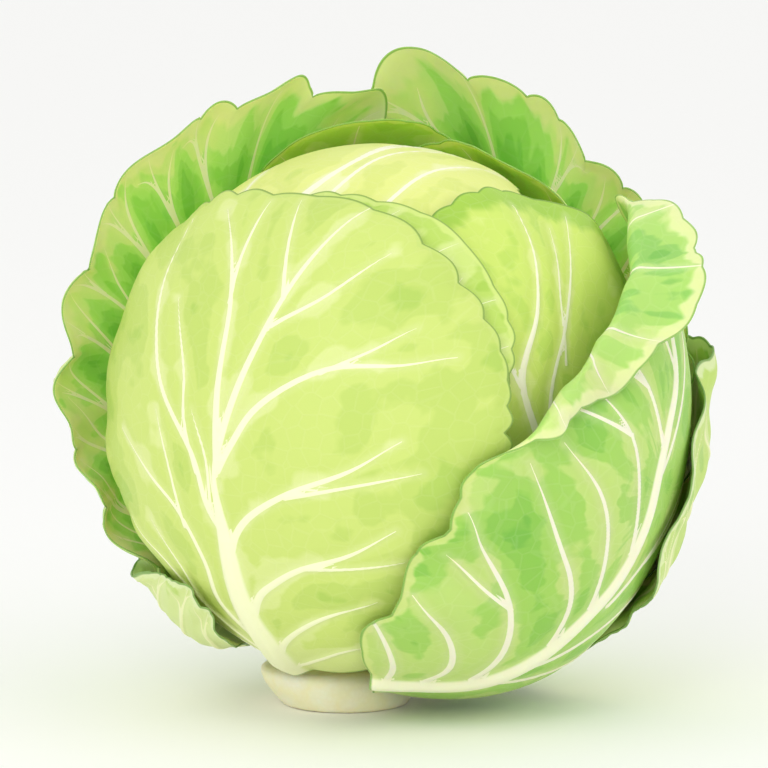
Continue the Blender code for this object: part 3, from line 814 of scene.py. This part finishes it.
def leaf_material(kind, look):
    """Fresh cabbage leaf: a smooth, faintly waxy green skin over pale, juicy ribs.

    To the eye: soft broad highlights, patches of deeper green between the veins, and veins of clear cream.
    """
    name = "waxy_cabbage_leaf_" + kind
    if name in bpy.data.materials:
        return bpy.data.materials[name]
    outer, inner = (SKINS[side] for side in SIDES.get(kind, (kind, kind)))
    material, tree, shader = new_material(name, {
        "IOR": 1.45, "Specular IOR Level": 0.35, "Subsurface Weight": outer.glow,
        "Subsurface Radius": (0.8, 1.0, 0.5), "Subsurface Scale": 0.003,
    })
    place, rim, vein = (
        add_node(tree, "Attribute", {}, out="Vector", attribute_name="blade_" + what)
        for what in ("place", "rim", "vein")
    )
    from_margin = add_node(tree, "SeparateXYZ", {0: rim}, out=1)
    from_vein = add_node(tree, "SeparateXYZ", {0: vein}, out=2)
    beside = add_node(tree, "MapRange", {0: from_vein, 1: 0.0, 2: VEIN_PALENESS, 3: -0.22, 4: 0.06})
    colour = blade_colour(tree, outer, look, place, rim, beside)
    if inner is not outer:
        under = blade_colour(tree, inner, look, place, rim, beside)
        side = add_node(tree, "Attribute", {}, out="Fac", attribute_name="blade_outside")
        colour = add_node(tree, "Mix", {0: side, 6: under, 7: colour}, out=2, data_type="RGBA")
    flat_way = add_node(tree, "VectorMath", {0: vein, 1: (1.0, 1.0, 0.0)}, operation="MULTIPLY")
    away = add_node(tree, "VectorMath", {0: flat_way}, out="Value", operation="LENGTH")
    # The finest veins make a net of about 6 mm meshes, drawn a little coarser than it is so that it shows.
    net = add_node(
        tree, "TexVoronoi", {"Vector": place, "Scale": MM / look.net_spacing, "Randomness": 0.9},
        feature="DISTANCE_TO_EDGE",
    )
    # Each mask: what it is measured from, where it starts to fade and where it is gone, and how strong it is.
    near, core, halo, line, painted_edge_shade = (
        add_node(
            tree, "MapRange", {0: source, 1: full, 2: gone, 3: most, 4: 0.0}, interpolation_type="SMOOTHSTEP"
        )
        for source, full, gone, most in (
            (from_vein, 0.3, 0.75, 1.0),
            (away, 0.82, 1.08, 1.0),
            (from_vein, 0.0, 3.0, 0.14),
            (net, 0.01, 0.07, 1.0),
            (from_margin, 0.35, 1.0, 0.85),
        )
    )
    core = add_node(tree, "Math", {0: core, 1: near}, operation="MULTIPLY")
    faint = add_node(tree, "Math", {0: line, 1: NET_STRENGTH}, operation="MULTIPLY")
    rib, edge = linear_colour(outer.rib), linear_colour(outer.edge)
    # The last pair is painted shade: a dark green line along the very margin that marks where the leaf ends.
    for share, over in ((halo, rib), (faint, rib), (core, rib), (painted_edge_shade, edge)):
        colour = add_node(tree, "Mix", {0: share, 6: colour, 7: over}, out=2, data_type="RGBA")
    grain = add_node(tree, "TexNoise", {"Vector": place, "Scale": 1 / SKIN_GRAIN, "Detail": 2.0})
    rough = add_node(tree, "MapRange", {0: grain, 1: 0.3, 2: 0.7, 3: 0.42, 4: 0.56})
    fine = add_node(tree, "Bump", {"Height": grain, "Strength": 0.12, "Distance": 0.0002})
    netted = add_node(tree, "Bump", {"Height": line, "Normal": fine, "Strength": 0.12, "Distance": 0.0003})
    for socket, value in (("Base Color", colour), ("Roughness", rough), ("Normal", netted)):
        tree.links.new(value, shader.inputs[socket])
    return material


def stem_material():
    """Freshly cut cabbage stem: moist, fibrous, cream flesh.

    To the eye: bundles of fibre that make the cream slightly uneven, in colour and to the touch.
    """
    material, tree, shader = new_material(
        "cut_stem_flesh", {"Roughness": 0.5, "Subsurface Weight": 0.15, "Subsurface Scale": 0.003}
    )
    place = add_node(tree, "TexCoord", {}, out="Object")
    fibres = add_node(tree, "TexVoronoi", {"Vector": place, "Scale": 1 / FIBRE_SPACING}, feature="F1")
    stains = add_node(tree, "TexNoise", {"Vector": place, "Scale": 1 / STAIN_SIZE, "Detail": 3.0})
    flesh = add_node(tree, "ValToRGB", {0: stains}, stops=STEM_STOPS)
    shade = add_node(tree, "MapRange", {0: fibres, 1: 0.1, 2: 0.7, 3: 0.0, 4: 0.12})
    colour = add_node(tree, "Mix", {0: shade, 6: flesh, 7: linear_colour("#F2E4AC")}, out=2, data_type="RGBA")
    bump = add_node(tree, "Bump", {"Height": fibres, "Strength": 0.3, "Distance": 0.0003})
    tree.links.new(colour, shader.inputs["Base Color"])
    tree.links.new(bump, shader.inputs["Normal"])
    return material


def heart_material():
    """Blanched inner cabbage leaf, grown in the dark.

    To the eye: pale, smooth and moist, with a little more yellow in soft patches.
    """
    material, tree, shader = new_material("blanched_heart_leaf", {"Roughness": 0.5})
    place = add_node(tree, "TexCoord", {}, out="Object")
    patches = add_node(tree, "TexNoise", {"Vector": place, "Scale": 1 / HEART_PATCH_SIZE, "Detail": 2.0})
    colour = add_node(tree, "ValToRGB", {0: patches}, stops=((0.35, "#F4F9B4"), (0.7, "#E2EE8E")))
    tree.links.new(colour, shader.inputs["Base Color"])
    return material


class CabbageShape(bpy.types.PropertyGroup):
    """The sizes that a grower of cabbages would change."""

    blade: bpy.props.FloatProperty(
        name="Blade thickness", description="Thickness of a leaf between its veins",
        default=0.001, min=0.0004, max=0.002, unit="LENGTH",
    )
    margin: bpy.props.FloatProperty(
        name="Margin thickness", description="Thickness of a leaf at its very edge",
        default=0.0005, min=0.0002, max=0.001, unit="LENGTH",
    )
    vein_width: bpy.props.FloatProperty(
        name="Vein width", description="Width of every rib and vein, as a share of the usual one",
        default=1.0, min=0.5, max=1.5, subtype="FACTOR",
    )
    relief: bpy.props.FloatProperty(
        name="Vein relief", description="How far the veins stand out, as a share of the usual height",
        default=1.0, min=0.0, max=1.2, subtype="FACTOR",
    )
    swelling: bpy.props.FloatProperty(
        name="Swelling", description="How far the blade swells between its veins",
        default=0.0004, min=0.0, max=0.001, unit="LENGTH",
    )


class CabbageLook(bpy.types.PropertyGroup):
    """The leaves' pattern, and the studio's colour and light."""

    patchiness: bpy.props.FloatProperty(
        name="Patchiness", description="How strongly the green varies over a leaf",
        default=1.0, min=0.0, max=2.0, subtype="FACTOR",
    )
    net_spacing: bpy.props.FloatProperty(
        name="Net of veins", description="Distance between the finest veins",
        default=0.006, min=0.002, max=0.02, unit="LENGTH",
    )
    floor: bpy.props.FloatVectorProperty(
        name="Floor", description="Colour of the floor and the backdrop", subtype="COLOR",
        default=linear_colour("#FDFDFB")[:3], min=0.0, max=1.0,
    )
    key_light: bpy.props.FloatProperty(
        name="Key light", description="Power of the large soft light from the upper left",
        default=4.5, min=0.0, unit="POWER",
    )
    sky: bpy.props.FloatProperty(
        name="Room light", description="Strength of the even light from all round", default=0.94, min=0.0,
    )


def deselect_everything():
    if bpy.context.object and bpy.context.object.mode != "OBJECT":
        bpy.ops.object.mode_set(mode="OBJECT")
    bpy.ops.object.select_all(action="DESELECT")


def finish_piece(piece, name, node, material):
    """Puts a piece's place into its mesh, names it, gives it its material, hides the imported piece that it
    replaces, and hangs it under the root body.
    """
    deselect_everything()
    piece.select_set(True)
    bpy.context.view_layer.objects.active = piece
    bpy.ops.object.transform_apply(location=True, rotation=True, scale=True)
    bpy.ops.object.shade_smooth_by_angle(angle=SMOOTH_ANGLE)
    piece.name = name
    piece.data.name = name
    piece.data.materials.clear()
    piece.data.materials.append(material)
    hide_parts(node)
    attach(piece, "root")


def tree_of(node):
    """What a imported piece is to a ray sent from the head's middle."""
    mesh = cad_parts[node].data
    points = [vertex.co - HEART_MIDDLE for vertex in mesh.vertices]
    return BVHTree.FromPolygons(points, [tuple(face.vertices) for face in mesh.polygons])


def grow_leaf(leaf, shape, look):
    """Lays one leaf: a fine blank over the pieces under it, thickened outwards by blade, ribs and veins."""
    order = ["heart"] + [each.node for each in LEAVES]
    placed = [tree_of(node) for node in order[: order.index(leaf.node)]]
    lift = finer(packed_lift(leaf, placed), leaf.fine)
    blank = Blank(leaf, leaf.fine)
    veins = leaf.veins if isinstance(leaf.veins, tuple) else ruled_veins(leaf, blank, leaf.veins)
    offset, edge, raised = vein_field(blank, veins, shape.vein_width)
    margin = blank.margin()
    pillow = blend(0.0, PILLOW_RISE, edge) * blend(0.0, PILLOW_RISE, margin) * shape.swelling
    deselect_everything()
    bpy.ops.mesh.primitive_grid_add(x_subdivisions=leaf.fine, y_subdivisions=leaf.fine, size=2)
    piece = bpy.context.object
    points = laid_points(leaf, blank, lift, pillow) + np.array(HEART_MIDDLE)
    piece.data.vertices.foreach_set("co", points.ravel())
    x, y = blank.place()
    apart = np.full(len(x), PATTERN_STEP * len(leaf.node))
    shade = round_margin(leaf.shade, blank.bearing) * blend(0.35, 1.0, blank.out) * SHADE_SWING
    if leaf.base == 0:
        shade -= blend(PALE_FOOT_REACH, 0.0, np.degrees(blank.along - blank.start)) * PALE_FOOT
    for name, values in (
        ("blade_place", (x, y, apart)),
        ("blade_rim", (blank.bearing * BLADE_REACH, margin, shade)),
        ("blade_vein", (*offset.T, np.clip(edge, -2.0, VEIN_REACH))),
    ):
        attribute = piece.data.attributes.new(name, "FLOAT_VECTOR", "POINT")
        attribute.data.foreach_set("vector", np.column_stack(values).astype(np.float32).ravel())
    blade = shape.margin + (shape.blade - shape.margin) * blend(0.0, THIN_MARGIN, margin)
    thickness = blade + pillow * 2 + raised * MM * shape.relief
    group = piece.vertex_groups.new(name="thickness")
    thickest = float(thickness.max())
    for index, weight in enumerate(thickness / thickest):
        group.add([index], float(weight), "REPLACE")
    shell = piece.modifiers.new("blade", "SOLIDIFY")
    shell.thickness = thickest
    shell.offset = 1.0
    shell.vertex_group = group.name
    bpy.ops.object.modifier_apply(modifier=shell.name)
    moved = np.empty(len(piece.data.vertices) * 3, np.float32)
    piece.data.vertices.foreach_get("co", moved)
    moved = np.linalg.norm(moved.reshape(2, -1, 3) - points, axis=2).ravel()
    outside = (moved > STILL).astype(np.float32)
    piece.data.attributes.new("blade_outside", "FLOAT", "POINT").data.foreach_set("value", outside)
    piece.vertex_groups.clear()
    name = leaf.node.replace("_leaf", "_blade")
    finish_piece(piece, name, leaf.node, leaf_material(leaf.skin, look))


class CABBAGE_OT_leaves(bpy.types.Operator):
    """Lay all the leaves of one kind over the head"""

    bl_idname = "cabbage.leaves"
    bl_label = "Leaves"

    slot: bpy.props.StringProperty(name="Kind", description="Which kind of leaf to lay", default="head_leaf")

    def execute(self, context):
        found = [leaf for leaf in LEAVES if leaf.slot == self.slot]
        if not found:
            raise RuntimeError(f"there are no leaves of kind {self.slot}")
        for leaf in found:
            grow_leaf(leaf, context.scene.cabbage_shape, context.scene.cabbage_look)
        return {"FINISHED"}


class CABBAGE_OT_heart(bpy.types.Operator):
    """Make the closed ball of young leaves inside the head"""

    bl_idname = "cabbage.heart"
    bl_label = "Heart"

    def execute(self, context):
        deselect_everything()
        bpy.ops.mesh.primitive_uv_sphere_add(segments=96, ring_count=64, radius=1.0, location=HEART_MIDDLE)
        heart = bpy.context.object
        heart.scale = (HEART_WIDTH / 2, HEART_WIDTH / 2, HEART_HEIGHT / 2)
        finish_piece(heart, "heart_ball", "heart", heart_material())
        return {"FINISHED"}


class CABBAGE_OT_stem(bpy.types.Operator):
    """Turn the cut stump that the head stands on"""

    bl_idname = "cabbage.stem"
    bl_label = "Stem"

    def execute(self, context):
        deselect_everything()
        bpy.ops.mesh.primitive_circle_add(vertices=72, radius=FOOT_RADIUS, fill_type="NGON")
        stem = bpy.context.object
        bpy.ops.object.mode_set(mode="EDIT")
        bpy.ops.mesh.select_all(action="SELECT")
        bpy.ops.mesh.normals_make_consistent(inside=True)
        radius, height = FOOT_RADIUS, 0.0
        for wider, higher in STEM_RINGS:
            slide = blend(0, SHOULDER_HEIGHT, higher) - blend(0, SHOULDER_HEIGHT, height)
            move = (-SHOULDER_OFFSET * float(slide), 0.0, higher - height)
            bpy.ops.mesh.extrude_region_move(TRANSFORM_OT_translate={"value": move})
            bpy.ops.transform.resize(value=(wider / radius, wider / radius, 1.0))
            radius, height = wider, higher
        bpy.ops.mesh.select_all(action="SELECT")
        bpy.ops.mesh.normals_make_consistent(inside=False)
        bpy.ops.object.mode_set(mode="OBJECT")
        finish_piece(stem, "cut_stem", "stem", stem_material())
        return {"FINISHED"}


class CABBAGE_OT_studio(bpy.types.Operator):
    """Set up the pale floor, the soft light and the camera"""

    bl_idname = "cabbage.studio"
    bl_label = "Studio"

    def execute(self, context):
        scene = context.scene
        look = scene.cabbage_look
        deselect_everything()
        bpy.ops.mesh.primitive_circle_add(vertices=96, radius=FLOOR_RADIUS, fill_type="NGON")
        floor = bpy.context.object
        floor.name = "floor"
        # Matt white paper: no gloss, so that the head's soft shadow is all there is to see on it.
        paper = {"Base Color": (*look.floor, 1.0), "Roughness": 0.9, "Specular IOR Level": 0.1}
        floor.data.materials.append(new_material("matt_paper_floor", paper)[0])
        scene.world = bpy.data.worlds.new("even_room")
        scene.world.use_nodes = True
        room = scene.world.node_tree.nodes["Background"]
        room.inputs["Color"].default_value = (1.0, 1.0, 1.0, 1.0)
        room.inputs["Strength"].default_value = look.sky
        scene.view_settings.view_transform = "Standard"
        for name, place, share, size in LIGHTS:
            light = bpy.data.lights.new(name, "AREA")
            light.energy = look.key_light * share
            light.size = size
            self.aim(scene, name, light, Vector(place))
        camera = bpy.data.cameras.new("camera")
        camera.sensor_width = FILM_WIDTH
        camera.lens = FILM_WIDTH * CAMERA_AWAY / VIEW_WIDTH
        back = Vector((0.0, -math.cos(CAMERA_TILT), math.sin(CAMERA_TILT)))
        scene.camera = self.aim(scene, "camera", camera, back * CAMERA_AWAY)
        return {"FINISHED"}

    def aim(self, scene, name, data, place):
        """Puts a lamp or camera at this place from the middle of the view, looking at it."""
        made = bpy.data.objects.new(name, data)
        scene.collection.objects.link(made)
        made.location = VIEW_MIDDLE + place
        made.rotation_euler = (-place).to_track_quat("-Z", "Y").to_euler()
        return made


class CABBAGE_PT_panel(bpy.types.Panel):
    """The cabbage's sizes, looks and steps"""

    bl_idname = "CABBAGE_PT_panel"
    bl_label = "Cabbage head"
    bl_space_type = "VIEW_3D"
    bl_region_type = "UI"
    bl_category = "Cabbage"

    def draw(self, context):
        for group in (context.scene.cabbage_shape, context.scene.cabbage_look):
            box = self.layout.box()
            for name in group.bl_rna.properties.keys():
                if name not in {"rna_type", "name"}:
                    box.prop(group, name)
        self.layout.operator("cabbage.stem")
        self.layout.operator("cabbage.heart")
        for kind in KINDS:
            self.layout.operator("cabbage.leaves", text=kind.replace("_", " ").capitalize()).slot = kind
        self.layout.operator("cabbage.studio")


CLASSES = (
    CabbageShape,
    CabbageLook,
    CABBAGE_OT_leaves,
    CABBAGE_OT_heart,
    CABBAGE_OT_stem,
    CABBAGE_OT_studio,
    CABBAGE_PT_panel,
)


def register():
    for each in CLASSES:
        bpy.utils.register_class(each)
    bpy.types.Scene.cabbage_shape = bpy.props.PointerProperty(type=CabbageShape)
    bpy.types.Scene.cabbage_look = bpy.props.PointerProperty(type=CabbageLook)


def unregister():
    del bpy.types.Scene.cabbage_look
    del bpy.types.Scene.cabbage_shape
    for each in reversed(CLASSES):
        bpy.utils.unregister_class(each)


def main():
    register()
    bpy.ops.cabbage.studio()
    bpy.ops.cabbage.stem()
    bpy.ops.cabbage.heart()
    for kind in KINDS:
        bpy.ops.cabbage.leaves(slot=kind)


if __name__ == "__main__":
    main()
